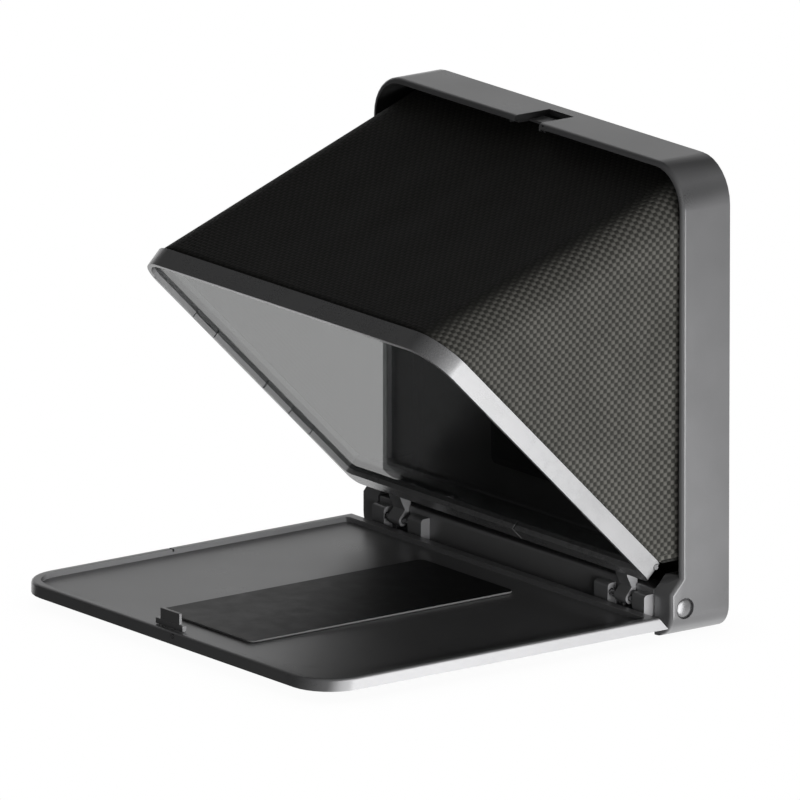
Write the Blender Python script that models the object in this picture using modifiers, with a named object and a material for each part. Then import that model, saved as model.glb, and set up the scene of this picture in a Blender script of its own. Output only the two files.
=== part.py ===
"""Fold-flat teleprompter: housing, lid that opens into a phone tray, framed half-mirror and fabric hood.

Metres, +Z up, +Y towards the camera lens. The origin is the middle of the housing's bottom edge, in the
plane of the housing's front rim. The lid turns on pins through the housing's ears. The glass frame turns
on arms held between lugs on the lid's hinge bar, and stands at 45 degrees when the lid is fully open.
"""

import math

import bmesh
import bpy
from mathutils import Euler, Vector

MM = 0.001
GAP = 0.3 * MM  # clearance between pieces that touch
CORNER_STEPS = 8  # straight pieces in a quarter turn of an outline
ROUND_STEPS = 24  # sides of a round piece
SHARP_ANGLE = 50  # degrees between two faces

# Housing: a thin box, open at the front, that stands on its bottom edge.
HOUSING_WIDTH = 252 * MM
HOUSING_HEIGHT = 235 * MM
HOUSING_DEPTH = 28.7 * MM
WALL = 2.8 * MM
TOP_RADIUS = 22 * MM
BOTTOM_RADIUS = 12 * MM
NOTCH_WIDTH = 19.8 * MM
NOTCH_DEPTH = 21.5 * MM
EAR_WIDTH = 13.4 * MM
EAR_FRONT = -6.6 * MM
EAR_BACK = 15 * MM
EAR_SHOULDER = 22.3 * MM  # height at which the ear's front starts to slope back
EAR_TOP = 29.6 * MM
FRONT_ROUNDING = 2.0 * MM  # along the outer front edge of the rim and ears
BACK_THICKNESS = 2.7 * MM

# Lens side: a collar screwed to the back plate, and the threaded ring that turns in it.
LENS_HEIGHT = 105 * MM
LENS_OPENING_RADIUS = 44 * MM
COLLAR_RADIUS = 54 * MM
COLLAR_CROWN_RADIUS = 48.5 * MM
COLLAR_LIP_RADIUS = 41.0 * MM
COLLAR_BORE_RADIUS = 43.0 * MM
COLLAR_EDGE = 2.0 * MM
COLLAR_LIP = 1.5 * MM
COLLAR_HEIGHT = 6.5 * MM
COLLAR_SCREWS = 4
COLLAR_SCREW_CIRCLE = 50.8 * MM
COLLAR_SCREW_RADIUS = 1.5 * MM
COLLAR_SCREW_LENGTH = 4.0 * MM
RING_FLANGE_RADIUS = 42.6 * MM
RING_GRIP_RADIUS = 40.5 * MM
RING_THREAD_RADIUS = 38.4 * MM
RING_BORE_RADIUS = 35.5 * MM
RING_MOUTH_RADIUS = 39.0 * MM
RING_GRIP = 8.0 * MM  # how far the grip and the thread stand out behind the back plate
RING_THREAD = 12.5 * MM

# Catch: the latch's keeper under the notch, with a sprung ball beside it.
CATCH_BACK = 19 * MM
CATCH_THICKNESS = 1.2 * MM
CATCH_HALF = 12.4 * MM
BALL_PLACE = (12.7 * MM, 1.9 * MM, 231.75 * MM)
BALL_RADIUS = 1.5 * MM
BALL_TRAVEL = 0.8 * MM

# Lid, measured from its hinge pin.
PIN_Y = 2.0 * MM
PIN_Z = 14.4 * MM
PIN_RADIUS = 2.5 * MM
PIN_LENGTH = 25.6 * MM
PIN_HEAD_RADIUS = 4.9 * MM
PIN_HEAD_EDGE = 1.4 * MM  # how far the head's edge and crown lie below the side face
PIN_HEAD_CROWN = 0.4 * MM
PIN_RECESS_RADIUS = 5.3 * MM
PIN_RECESS_DEPTH = 2.2 * MM
LID_REACH = 221 * MM
LID_TOP = -2.4 * MM
LID_BOTTOM = -8.6 * MM
LID_HEEL_TOP = -15.9 * MM  # rear end of the lid's top face; the end slopes in under it
LID_HEEL_BOTTOM = -10.4 * MM
LID_RIM = 4.8 * MM
RIM_SLIT = 1.2 * MM
RIM_SLIT_Y = -128 * MM
LID_ROUNDING = 1.4 * MM  # along the outer top edge
FLOOR_DEPTH = 2.5 * MM
TONGUE_BACK = 6.0 * MM
TONGUE_TOP = -6.2 * MM
TONGUE_HALF = 111.0 * MM
MAT_HALF = 38.0 * MM
MAT_FRONT = -197.7 * MM
MAT_BACK = -37.4 * MM
MAT_THICKNESS = 1.2 * MM
LATCH_X = -2.2 * MM  # the latch sits a little to the left of the middle
LATCH_REACH = 216.2 * MM
LATCH_DEPTH = 2.4 * MM
LATCH_STEP_HALF = 11 * MM
LATCH_STEP_HEIGHT = 3.1 * MM
LATCH_HALF = 7.8 * MM
LATCH_HEIGHT = 8.6 * MM
LATCH_PIN_PLACE = (5.5 * MM, LID_TOP - 1.9 * MM)
LATCH_PIN_RADIUS = 1.0 * MM
BAR_SCREW_RADIUS = 2.7 * MM
BAR_SCREW_SPACING = 75 * MM
BAR_SCREW_Y = -5.2 * MM

# Hinge bar and lugs on the lid, measured from the hinge pin.
BAR_HALF = 111.4 * MM
BAR_FRONT = -8.3 * MM
BAR_BACK = 6.0 * MM
BAR_TOP = 8.3 * MM
BAR_BOTTOM = -5.9 * MM
LUG_FRONT = -13.6 * MM
LUG_TOP = 5.4 * MM
LUGS = ((70.5 * MM, 81.5 * MM), (101 * MM, 110.8 * MM))  # inner and outer lug, distance from the middle
ARM_PIVOT_Y = -11.3 * MM
ARM_PIVOT_Z = 1.0 * MM
ARM_PIN_RADIUS = 1.5 * MM
ARM_PIN_SPAN = (72.5 * MM, 108.5 * MM)
ARM_HUB_RADIUS = 3.2 * MM
ARM_SPAN = (87.5 * MM, 97 * MM)
ARM_ROOM = 8.8 * MM  # radius of the pocket behind the arm

# Glass frame, measured from the arm pivot: Y up the slope, Z towards the underside.
GLASS_TILT = 45
FRAME_HALF = 121.1 * MM
FRAME_LOW = 13.5 * MM
FRAME_HIGH = 203.9 * MM
FRAME_FACE = -5.7 * MM
FRAME_THICKNESS = 10 * MM
FRAME_TOP_RADIUS = 20 * MM
FRAME_BOTTOM_RADIUS = 6 * MM
FRAME_RIM = 2.4 * MM
FRAME_RIM_TOP = 2.4 * MM
FRAME_RIM_BOTTOM = 8.5 * MM
FRAME_LEDGE = 2.4 * MM
GLASS_RECESS = 2.5 * MM
GLASS_THICKNESS = 1.6 * MM
CLIP_CENTRES = (63.8 * MM, 146 * MM)  # distance up the slope
CLIP_LENGTH = 17 * MM
CLIP_WIDTH = 0.9 * MM
CLIP_GAP = 0.6 * MM
SIDE_SLOT = 94 * MM  # distance up the slope of the notch across each side rail
BOTTOM_SLOT = 16 * MM  # distance from the middle of the notch across the bottom rail
SLOT_WIDTH = 1.3 * MM
FRAME_PIN_RADIUS = 1.3 * MM
FRAME_PIN_LENGTH = 3.4 * MM

# Hood: fabric from the back of the glass frame to the inside of the housing.
FABRIC = 0.8 * MM
HOOD_BACK = 21.5 * MM
HOOD_BOTTOM = 38 * MM


# ---------------------------------------------------------------- tools


def clear_scene():
    for obj in list(bpy.data.objects):
        bpy.data.objects.remove(obj, do_unlink=True)


def new_collection(name):
    made = bpy.data.collections.new(name)
    bpy.context.scene.collection.children.link(made)
    return made


def make_material(name, colour, roughness, metallic=0.0, transmission=0.0):
    made = bpy.data.materials.new(name)
    made.use_nodes = True
    shader = made.node_tree.nodes["Principled BSDF"]
    shader.inputs["Base Color"].default_value = (*colour, 1.0)
    shader.inputs["Roughness"].default_value = roughness
    shader.inputs["Metallic"].default_value = metallic
    shader.inputs["Transmission Weight"].default_value = transmission
    return made


def make_empty(name, location, parent=None, tilt=0.0):
    made = bpy.data.objects.new(name, None)
    PARTS.objects.link(made)
    made.parent = parent
    made.location = location
    made.rotation_euler = (math.radians(tilt), 0, 0)
    return made


def finish_mesh(name, mesh, parent, location, rotation=(0, 0, 0), material=None):
    """Puts a mesh in the scene under its parent. Without a material it is a cutter."""
    made = bpy.data.objects.new(name, mesh)
    made.parent = parent
    made.location = location
    made.rotation_euler = [math.radians(angle) for angle in rotation]
    if material is None:
        CUTTERS.objects.link(made)
        made.hide_render = True
        made.display_type = "WIRE"
    else:
        PARTS.objects.link(made)
        mesh.materials.append(material)
    return made


def box(name, x, y, z, parent, material=None):
    """A block between two corners, given as (low, high) on each axis of the parent."""
    low, high = Vector((x[0], y[0], z[0])), Vector((x[1], y[1], z[1]))
    mesh = bpy.data.meshes.new(name)
    shape = bmesh.new()
    bmesh.ops.create_cube(shape, size=1.0)
    bmesh.ops.scale(shape, vec=high - low, verts=shape.verts)
    shape.to_mesh(mesh)
    shape.free()
    return finish_mesh(name, mesh, parent, (low + high) / 2, material=material)


AXIS_TURN = {"X": (0, 90, 0), "Y": (-90, 0, 0), "Z": (0, 0, 0)}


def rod(name, radius, axis, span, centre, parent, material=None, steps=ROUND_STEPS):
    """A round bar along an axis of its parent, from span[0] to span[1], through centre on the other two."""
    mesh = bpy.data.meshes.new(name)
    shape = bmesh.new()
    bmesh.ops.create_cone(
        shape,
        cap_ends=True,
        segments=steps,
        radius1=radius,
        radius2=radius,
        depth=span[1] - span[0],
    )
    shape.to_mesh(mesh)
    shape.free()
    mesh.shade_smooth()
    mesh.set_sharp_from_angle(angle=math.radians(40))
    place = list(centre)
    place.insert("XYZ".index(axis), (span[0] + span[1]) / 2)
    return finish_mesh(name, mesh, parent, place, AXIS_TURN[axis], material)


PLANE_TURN = {"XY": (0, 0, 0), "XZ": (90, 0, 0), "YZ": (90, 0, 90)}
PLANE_NORMAL = {"XY": (0, 0, 1), "XZ": (0, -1, 0), "YZ": (1, 0, 0)}


def plate(name, outlines, plane, span, parent, material=None):
    """Flat outlines in a plane of the parent, filled and extruded between two places on its normal axis."""
    curve = bpy.data.curves.new(name, "CURVE")
    curve.dimensions = "2D"
    curve.fill_mode = "BOTH"
    curve.extrude = abs(span[1] - span[0]) / 2
    for outline in outlines:
        spline = curve.splines.new("POLY")
        spline.points.add(len(outline) - 1)
        for point, (x, y) in zip(spline.points, outline):
            point.co = (x, y, 0, 1)
        spline.use_cyclic_u = True
    source = bpy.data.objects.new(name + "_outline", curve)
    CUTTERS.objects.link(source)
    graph = bpy.context.evaluated_depsgraph_get()
    mesh = bpy.data.meshes.new_from_object(source.evaluated_get(graph))
    mesh.name = name
    shape = bmesh.new()
    shape.from_mesh(mesh)
    bmesh.ops.remove_doubles(shape, verts=shape.verts, dist=0.001 * MM)
    shape.to_mesh(mesh)
    shape.free()
    bpy.data.objects.remove(source, do_unlink=True)
    bpy.data.curves.remove(curve)
    middle = [abs(side) * (span[0] + span[1]) / 2 for side in PLANE_NORMAL[plane]]
    return finish_mesh(name, mesh, parent, middle, PLANE_TURN[plane], material)


def arc(centre, radius, start, end, steps=CORNER_STEPS):
    """Points on a circle from one angle to another, in degrees."""
    turns = [math.radians(start + (end - start) * step / steps) for step in range(steps + 1)]
    return [(centre[0] + radius * math.cos(t), centre[1] + radius * math.sin(t)) for t in turns]


def rounded_rectangle(x, y, low_radius, high_radius):
    """Counter-clockwise outline of a rectangle, with one radius at its low corners, one at its high ones."""
    points = arc((x[0] + low_radius, y[0] + low_radius), low_radius, 180, 270)
    points += arc((x[1] - low_radius, y[0] + low_radius), low_radius, 270, 360)
    points += arc((x[1] - high_radius, y[1] - high_radius), high_radius, 0, 90)
    points += arc((x[0] + high_radius, y[1] - high_radius), high_radius, 90, 180)
    return points


def boolean(obj, operation, other):
    made = obj.modifiers.new(operation.lower(), "BOOLEAN")
    made.operation = operation
    made.object = other
    return obj


def cut(obj, *cutters):
    for cutter in cutters:
        boolean(obj, "DIFFERENCE", cutter)
    return obj


def join(obj, *others):
    for other in others:
        boolean(obj, "UNION", other)
    return obj


def soften(obj, width=0.4 * MM, segments=1, angle=SHARP_ANGLE):
    """Breaks the sharp edges and shades the faces between them smooth."""
    made = obj.modifiers.new("edges", "BEVEL")
    made.width = width
    made.segments = segments
    made.limit_method = "ANGLE"
    made.angle_limit = math.radians(angle)
    return obj


def round_edges(obj, width, segments, chosen):
    """Rounds the sharp edges whose two ends are both chosen, in world space. Earlier modifiers are applied."""
    graph = bpy.context.evaluated_depsgraph_get()
    shaped = obj.evaluated_get(graph)
    place = shaped.matrix_world.copy()
    obj.data = bpy.data.meshes.new_from_object(shaped)
    obj.modifiers.clear()
    shape = bmesh.new()
    shape.from_mesh(obj.data)
    weight = shape.edges.layers.float.new("bevel_weight_edge")
    for edge in shape.edges:
        sharp = edge.is_manifold and edge.calc_face_angle() > math.radians(SHARP_ANGLE)
        if sharp and all(chosen(place @ vert.co) for vert in edge.verts):
            edge[weight] = 1
    shape.to_mesh(obj.data)
    shape.free()
    made = obj.modifiers.new("rounding", "BEVEL")
    made.width = width
    made.segments = segments
    made.use_clamp_overlap = False
    made.limit_method = "WEIGHT"
    return obj


def mirror_names(name):
    return ((name + "_left", -1), (name + "_right", 1))


def span_on_side(span, side):
    """A stretch given as distances from the middle, on the left (-1) or the right (1)."""
    return tuple(sorted(side * value for value in span))


# ---------------------------------------------------------------- housing


def housing_outline(inset):
    half = HOUSING_WIDTH / 2 - inset
    return rounded_rectangle(
        (-half, half), (inset, HOUSING_HEIGHT - inset), BOTTOM_RADIUS - inset, TOP_RADIUS - inset
    )


def mouth_outline():
    """The housing's opening seen from the front: the inside of the walls, less a block for each ear."""
    inner = housing_outline(WALL)
    ear_inside = HOUSING_WIDTH / 2 - EAR_WIDTH
    above = [point for point in inner if point[1] > EAR_TOP]
    low = [(-ear_inside, EAR_TOP), (-ear_inside, WALL), (ear_inside, WALL), (ear_inside, EAR_TOP)]
    half = HOUSING_WIDTH / 2 - WALL
    return [(-half, EAR_TOP), *low, (half, EAR_TOP), *above]


def front_waste():
    """Side view of what is taken off in front of the rim, leaving the ears' sloped shoulders."""
    over = 5 * MM
    slope = (EAR_TOP - EAR_SHOULDER) / -EAR_FRONT
    return [
        (EAR_FRONT - over, EAR_SHOULDER - slope * over),
        (0, EAR_TOP),
        (0, HOUSING_HEIGHT + over),
        (EAR_FRONT - over, HOUSING_HEIGHT + over),
    ]


def on_front_edge(point):
    """True on the outer front edge: the ears, their sloped shoulders, the sides and the top."""
    half = HOUSING_WIDTH / 2
    if point.z < BOTTOM_RADIUS and abs(point.x) < half - 0.7 * BOTTOM_RADIUS:
        return False
    shoulder = min(1, max(0, (EAR_TOP - point.z) / (EAR_TOP - EAR_SHOULDER)))
    from_side, from_end = half - abs(point.x), min(point.z, HOUSING_HEIGHT - point.z)
    radius = TOP_RADIUS if point.z > HOUSING_HEIGHT / 2 else BOTTOM_RADIUS
    if max(from_side, from_end) < radius:
        depth = radius - math.hypot(radius - from_side, radius - from_end)
    else:
        depth = min(from_side, from_end)
    return abs(point.y - EAR_FRONT * shoulder) < 0.02 * MM and abs(depth) < 0.1 * MM


def build_housing(root):
    """One solid block, hollowed out, then cut back to the rim in front of everything but the ears."""
    half = HOUSING_WIDTH / 2
    ear_inside = half - EAR_WIDTH
    shell = plate("housing_shell", [housing_outline(0)], "XZ", (EAR_FRONT, HOUSING_DEPTH), root, GREY)
    cut(
        shell,
        plate("housing_mouth", [mouth_outline()], "XZ", (EAR_FRONT - MM, EAR_BACK), root),
        plate("housing_hollow", [housing_outline(WALL)], "XZ", (EAR_BACK - MM, HOUSING_DEPTH + MM), root),
        plate("rim_cut", [front_waste()], "YZ", (-half - MM, half + MM), root),
        box("sill_cut", (-ear_inside, ear_inside), (EAR_FRONT - MM, 0), (-MM, 4 * WALL), root),
        box("top_notch", (-NOTCH_WIDTH / 2, NOTCH_WIDTH / 2), (-MM, NOTCH_DEPTH),
            (HOUSING_HEIGHT - 2 * WALL, HOUSING_HEIGHT + MM), root),
    )
    round_edges(shell, FRONT_ROUNDING, 4, on_front_edge)
    soften(shell)
    for name, side in mirror_names("ear"):
        recess = span_on_side((half - PIN_RECESS_DEPTH, half + MM), side)
        bore = span_on_side((half - 20 * MM, half + MM), side)
        cut(
            shell,
            rod(name + "_pin_bore", PIN_RADIUS + GAP, "X", bore, (PIN_Y, PIN_Z), root),
            rod(name + "_head_recess", PIN_RECESS_RADIUS, "X", recess, (PIN_Y, PIN_Z), root),
        )
    pocket_top = BALL_PLACE[2] + BALL_RADIUS + BALL_TRAVEL + GAP / 2
    cut(shell, rod("ball_pocket", BALL_RADIUS + GAP, "Z", (HOUSING_HEIGHT - 2 * WALL, pocket_top),
                   BALL_PLACE[:2], root, steps=16))


def build_back(root):
    rear = HOUSING_DEPTH
    back = plate("back_plate", [housing_outline(WALL + GAP)], "XZ", (rear - BACK_THICKNESS, rear), root,
                 BLACK)
    soften(back)
    cut(back, rod("lens_opening", LENS_OPENING_RADIUS, "Y", (rear - 5 * MM, rear + MM), (0, LENS_HEIGHT),
                  root, steps=48))
    clamp = plate(
        "hood_clamp_rear",
        [housing_outline(WALL + GAP), housing_outline(WALL + 5 * MM)],
        "XZ",
        (HOOD_BACK + FABRIC, rear - BACK_THICKNESS - GAP),
        root,
        BLACK,
    )
    soften(clamp, 0.3 * MM)


TURNED_ALONG = {"Y": (90, 0, 0), "X": (0, -90, 0), "-X": (0, 90, 0)}


def turned(name, profile, axis, centre, parent, material, steps=48):
    """A piece turned about an axis through centre. The profile holds (radius, place on the axis), down its
    outer side. It is a closed loop for a ring, or starts and ends at radius 0."""
    last = len(profile) - 1
    edges = [(index, index + 1) for index in range(last)]
    if profile[0][0] > 0:
        edges.append((last, 0))
    mesh = bpy.data.meshes.new(name)
    mesh.from_pydata([(radius, 0, -place) for radius, place in profile], edges, [])
    made = finish_mesh(name, mesh, parent, centre, TURNED_ALONG[axis], material)
    screw = made.modifiers.new("turn", "SCREW")
    screw.steps = steps
    screw.render_steps = steps
    screw.use_merge_vertices = True
    screw.merge_threshold = 0.00001
    return made


def build_lens_mount(root, ring_axis):
    """A collar on the back plate, and the threaded ring that turns in it."""
    face = HOUSING_DEPTH + GAP
    crown = face + COLLAR_HEIGHT
    collar = [
        (COLLAR_RADIUS, face),
        (COLLAR_RADIUS, face + COLLAR_EDGE),
        (COLLAR_CROWN_RADIUS, crown),
        (COLLAR_LIP_RADIUS, crown),
        (COLLAR_LIP_RADIUS, crown - COLLAR_LIP),
        (COLLAR_BORE_RADIUS, crown - COLLAR_LIP),
        (COLLAR_BORE_RADIUS, face),
    ]
    inner, shoulder = HOUSING_DEPTH - 0.5 * MM, crown - COLLAR_LIP - 0.4 * MM
    ring = [
        (RING_FLANGE_RADIUS, inner),
        (RING_FLANGE_RADIUS, shoulder),
        (RING_GRIP_RADIUS, shoulder),
        (RING_GRIP_RADIUS, face + RING_GRIP),
        (RING_THREAD_RADIUS, face + RING_GRIP),
        (RING_THREAD_RADIUS, face + RING_THREAD),
        (RING_BORE_RADIUS, face + RING_THREAD),
        (RING_BORE_RADIUS, face + COLLAR_EDGE),
        (RING_MOUTH_RADIUS, inner),
    ]
    collar = turned("lens_collar", collar, "Y", (0, 0, LENS_HEIGHT), root, BLACK)
    turned("adapter_ring", ring, "Y", (0, 0, 0), ring_axis, GREY)
    head = face + COLLAR_SCREW_LENGTH
    through = (face - MM, crown + MM)
    for index in range(COLLAR_SCREWS):
        angle = math.radians(45 + 360 / COLLAR_SCREWS * index)
        spot = (COLLAR_SCREW_CIRCLE * math.cos(angle), LENS_HEIGHT + COLLAR_SCREW_CIRCLE * math.sin(angle))
        label = f"collar_screw_{index + 1}"
        cut(collar, rod(label + "_hole", COLLAR_SCREW_RADIUS + 0.4 * MM, "Y", through, spot, root))
        screw = rod(label, COLLAR_SCREW_RADIUS, "Y", (face, head), spot, root, STEEL, steps=16)
        cut(screw, rod(label + "_socket", COLLAR_SCREW_RADIUS / 2, "Y", (head - MM, head + MM), spot, root,
                       steps=6))


def build_catch(root, catch_axis):
    """The latch's keeper under the notch, with a sprung ball beside it."""
    top = HOUSING_HEIGHT - WALL - GAP
    under, over = top - 4 * MM, top + MM
    keeper = box("catch_block", (LATCH_X - CATCH_HALF, LATCH_X + CATCH_HALF), (0.4 * MM, CATCH_BACK),
                 (top - CATCH_THICKNESS, top), root, GREY)
    soften(keeper, 0.3 * MM)
    step, head = LATCH_STEP_HALF + 2 * GAP, LATCH_HALF + 2 * GAP
    cut(
        keeper,
        box("catch_mouth", (LATCH_X - step, LATCH_X + step), (-MM, LATCH_STEP_HEIGHT + GAP), (under, over),
            root),
        box("catch_throat", (LATCH_X - head, LATCH_X + head), (0, LATCH_HEIGHT + MM), (under, over), root),
    )
    ball = bpy.data.meshes.new("catch_ball")
    shape = bmesh.new()
    bmesh.ops.create_uvsphere(shape, u_segments=16, v_segments=10, radius=BALL_RADIUS)
    shape.to_mesh(ball)
    shape.free()
    ball.shade_smooth()
    finish_mesh("catch_ball", ball, catch_axis, (0, 0, 0), material=STEEL)


def build_pins(root):
    """Hinge pins, pushed in from the sides. Their domed heads lie sunk in the ears."""
    half, chamfer, steps = HOUSING_WIDTH / 2, 0.3 * MM, 5
    edge, rise = half - PIN_HEAD_EDGE, PIN_HEAD_EDGE - PIN_HEAD_CROWN
    profile = [
        (0, half - PIN_LENGTH),
        (PIN_RADIUS - chamfer, half - PIN_LENGTH),
        (PIN_RADIUS, half - PIN_LENGTH + chamfer),
        (PIN_RADIUS, half - PIN_RECESS_DEPTH + GAP),
        (PIN_HEAD_RADIUS, half - PIN_RECESS_DEPTH + GAP),
    ]
    for step in range(steps):
        turn = math.pi / 2 * step / steps
        profile.append((PIN_HEAD_RADIUS * math.cos(turn), edge + rise * math.sin(turn)))
    profile.append((0, half - PIN_HEAD_CROWN))
    for name, axis in (("hinge_pin_left", "-X"), ("hinge_pin_right", "X")):
        turned(name, profile, axis, (0, PIN_Y, PIN_Z), root, STEEL, ROUND_STEPS)


# ---------------------------------------------------------------- lid


def heel_profile():
    """The wedge taken off the lid's rear end, in side view."""
    slope = (LID_HEEL_BOTTOM - LID_HEEL_TOP) / (LID_TOP - LID_BOTTOM)
    over = 2 * MM
    return [
        (LID_HEEL_TOP - slope * over, LID_TOP + over),
        (LID_HEEL_BOTTOM + slope * over, LID_BOTTOM - over),
        (20 * MM, LID_BOTTOM - over),
        (20 * MM, LID_TOP + over),
    ]


def lid_outline():
    """Seen from above: round front corners, square heels beside the ears, the tongue under the hinge bar."""
    half = HOUSING_WIDTH / 2
    points = arc((-half + TOP_RADIUS, -LID_REACH + TOP_RADIUS), TOP_RADIUS, 180, 270)
    points += arc((half - TOP_RADIUS, -LID_REACH + TOP_RADIUS), TOP_RADIUS, 270, 360)
    points += [(half, LID_HEEL_BOTTOM), (TONGUE_HALF, LID_HEEL_BOTTOM), (TONGUE_HALF, TONGUE_BACK)]
    points += [(-TONGUE_HALF, TONGUE_BACK), (-TONGUE_HALF, LID_HEEL_BOTTOM), (-half, LID_HEEL_BOTTOM)]
    return points


def on_lid_edge(point):
    """True on the outer top edge of the lid: the front, its round corners and both sides."""
    across = abs(point.x) - HOUSING_WIDTH / 2 + TOP_RADIUS
    ahead = PIN_Y - LID_REACH + TOP_RADIUS - point.y
    reach = math.hypot(max(across, 0), max(ahead, 0))
    return reach > TOP_RADIUS - GAP / 3 and point.z > PIN_Z + LID_TOP - GAP / 3


def build_lid(lid):
    half = HOUSING_WIDTH / 2
    tray = plate("lid_tray", [lid_outline()], "XY", (LID_BOTTOM, LID_TOP), lid, GREY)
    floor = rounded_rectangle(
        (-half + LID_RIM, half - LID_RIM),
        (-LID_REACH + LID_RIM, LID_HEEL_TOP - LID_RIM),
        TOP_RADIUS - LID_RIM,
        3 * MM,
    )
    cut(
        tray,
        plate("tray_floor", [floor], "XY", (LID_TOP - FLOOR_DEPTH, LID_TOP + MM), lid),
        box("bar_room", (-TONGUE_HALF - MM, TONGUE_HALF + MM), (LID_HEEL_TOP + GAP, TONGUE_BACK + MM),
            (TONGUE_TOP, LID_TOP + MM), lid),
    )
    for name, side in mirror_names("heel"):
        heel = span_on_side((TONGUE_HALF, half + MM), side)
        cut(tray, plate(name + "_wedge", [heel_profile()], "YZ", heel, lid))
    round_edges(tray, LID_ROUNDING, 3, on_lid_edge)
    soften(tray)
    cut(tray, box("rim_slit", (-half - MM, -half + LID_RIM + 0.2 * MM), (RIM_SLIT_Y, RIM_SLIT_Y + RIM_SLIT),
                  (LID_TOP - RIM_SLIT, LID_TOP + MM), lid))
    for index in range(3):
        spot = ((index - 1) * BAR_SCREW_SPACING, BAR_SCREW_Y)
        label = f"bar_screw_{index + 1}"
        cut(tray, rod(label + "_hole", BAR_SCREW_RADIUS + 0.4 * MM, "Z", (LID_BOTTOM - MM, TONGUE_TOP + MM),
                      spot, lid))
        depth = (LID_BOTTOM + 0.2 * MM, TONGUE_TOP - 0.1 * MM)
        screw = rod(label, BAR_SCREW_RADIUS, "Z", depth, spot, lid, STEEL)
        cut(screw, rod(label + "_socket", BAR_SCREW_RADIUS / 2, "Z", (LID_BOTTOM - MM, LID_BOTTOM + 1.2 * MM),
                       spot, lid, steps=6))
    floor_level = LID_TOP - FLOOR_DEPTH
    mat = rounded_rectangle((-MAT_HALF, MAT_HALF), (MAT_FRONT, MAT_BACK), 4 * MM, 4 * MM)
    soften(plate("phone_mat", [mat], "XY", (floor_level + GAP, floor_level + MAT_THICKNESS), lid, RUBBER),
           0.3 * MM)


def build_latch(latch, lid):
    """The stepped clip at the lid's front edge, which presses in a little along Y, and the pin below it."""
    front, back = -LATCH_DEPTH / 2, LATCH_DEPTH / 2
    step = box("latch_clip", (-LATCH_STEP_HALF, LATCH_STEP_HALF), (front, back), (GAP, LATCH_STEP_HEIGHT),
               latch, GREY)
    upper = box("latch_upper", (-LATCH_HALF, LATCH_HALF), (front + 0.5 * MM, back - 0.3 * MM),
                (LATCH_STEP_HEIGHT - MM, LATCH_HEIGHT), latch)
    hook = box("latch_hook", (-LATCH_HALF + 2 * MM, LATCH_HALF - 2 * MM), (front + MM, back + 0.9 * MM),
               (LATCH_HEIGHT - 1.8 * MM, LATCH_HEIGHT - 0.5 * MM), latch)
    join(step, upper, hook)
    soften(step, 0.3 * MM)
    front = -LID_REACH
    cut(bpy.data.objects["lid_tray"],
        rod("latch_pin_hole", LATCH_PIN_RADIUS + GAP, "Y", (front - MM, front + 3 * MM), LATCH_PIN_PLACE, lid,
            steps=12))
    rod("latch_pin", LATCH_PIN_RADIUS, "Y", (front - GAP, front + 2.6 * MM), LATCH_PIN_PLACE, lid, STEEL,
        steps=12)


def build_hinge_bar(lid):
    chamfer = 3 * MM
    profile = [
        (BAR_FRONT, BAR_BOTTOM),
        (BAR_BACK - chamfer, BAR_BOTTOM),
        (BAR_BACK, BAR_BOTTOM + chamfer),
        (BAR_BACK, BAR_TOP - chamfer),
        (BAR_BACK - chamfer, BAR_TOP),
        (BAR_FRONT + 0.6 * MM, BAR_TOP),
        (BAR_FRONT, BAR_TOP - 0.6 * MM),
    ]
    bar = plate("hinge_bar", [profile], "YZ", (-BAR_HALF, BAR_HALF), lid, GREY)
    lug = [(BAR_FRONT + MM, BAR_BOTTOM + 0.5 * MM), (BAR_FRONT + MM, LUG_TOP)]
    lug += arc((LUG_FRONT + 2 * MM, LUG_TOP - 2 * MM), 2 * MM, 90, 180, 4)
    lug += [(LUG_FRONT, BAR_BOTTOM + 0.5 * MM)]
    pivot = (ARM_PIVOT_Y, ARM_PIVOT_Z)
    for name, side in mirror_names("lug"):
        for index, span in enumerate(LUGS):
            join(bar, plate(f"{name}_{index + 1}", [lug], "YZ", span_on_side(span, side), lid))
    soften(bar, 0.3 * MM)
    for name, side in mirror_names("arm_pin"):
        arm_room = span_on_side((ARM_SPAN[0] - 0.8 * MM, ARM_SPAN[1] + 0.8 * MM), side)
        hole = span_on_side((ARM_PIN_SPAN[0] - 0.5 * MM, ARM_PIN_SPAN[1] + 0.5 * MM), side)
        bore = span_on_side((BAR_HALF - 13 * MM, BAR_HALF + 9 * MM), side)
        cut(
            bar,
            rod(name + "_arm_room", ARM_ROOM, "X", arm_room, pivot, lid),
            rod(name + "_hole", ARM_PIN_RADIUS + GAP, "X", hole, pivot, lid, steps=16),
            rod(name + "_bar_bore", PIN_RADIUS + GAP, "X", bore, (0, 0), lid),
        )
        rod(name, ARM_PIN_RADIUS, "X", span_on_side(ARM_PIN_SPAN, side), pivot, lid, STEEL, steps=16)


# ---------------------------------------------------------------- glass frame


def frame_outline(side_inset, top_inset, bottom_inset):
    half = FRAME_HALF - side_inset
    return rounded_rectangle(
        (-half, half),
        (FRAME_LOW + bottom_inset, FRAME_HIGH - top_inset),
        max(FRAME_BOTTOM_RADIUS - side_inset, 1.5 * MM),
        FRAME_TOP_RADIUS - side_inset,
    )


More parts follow.
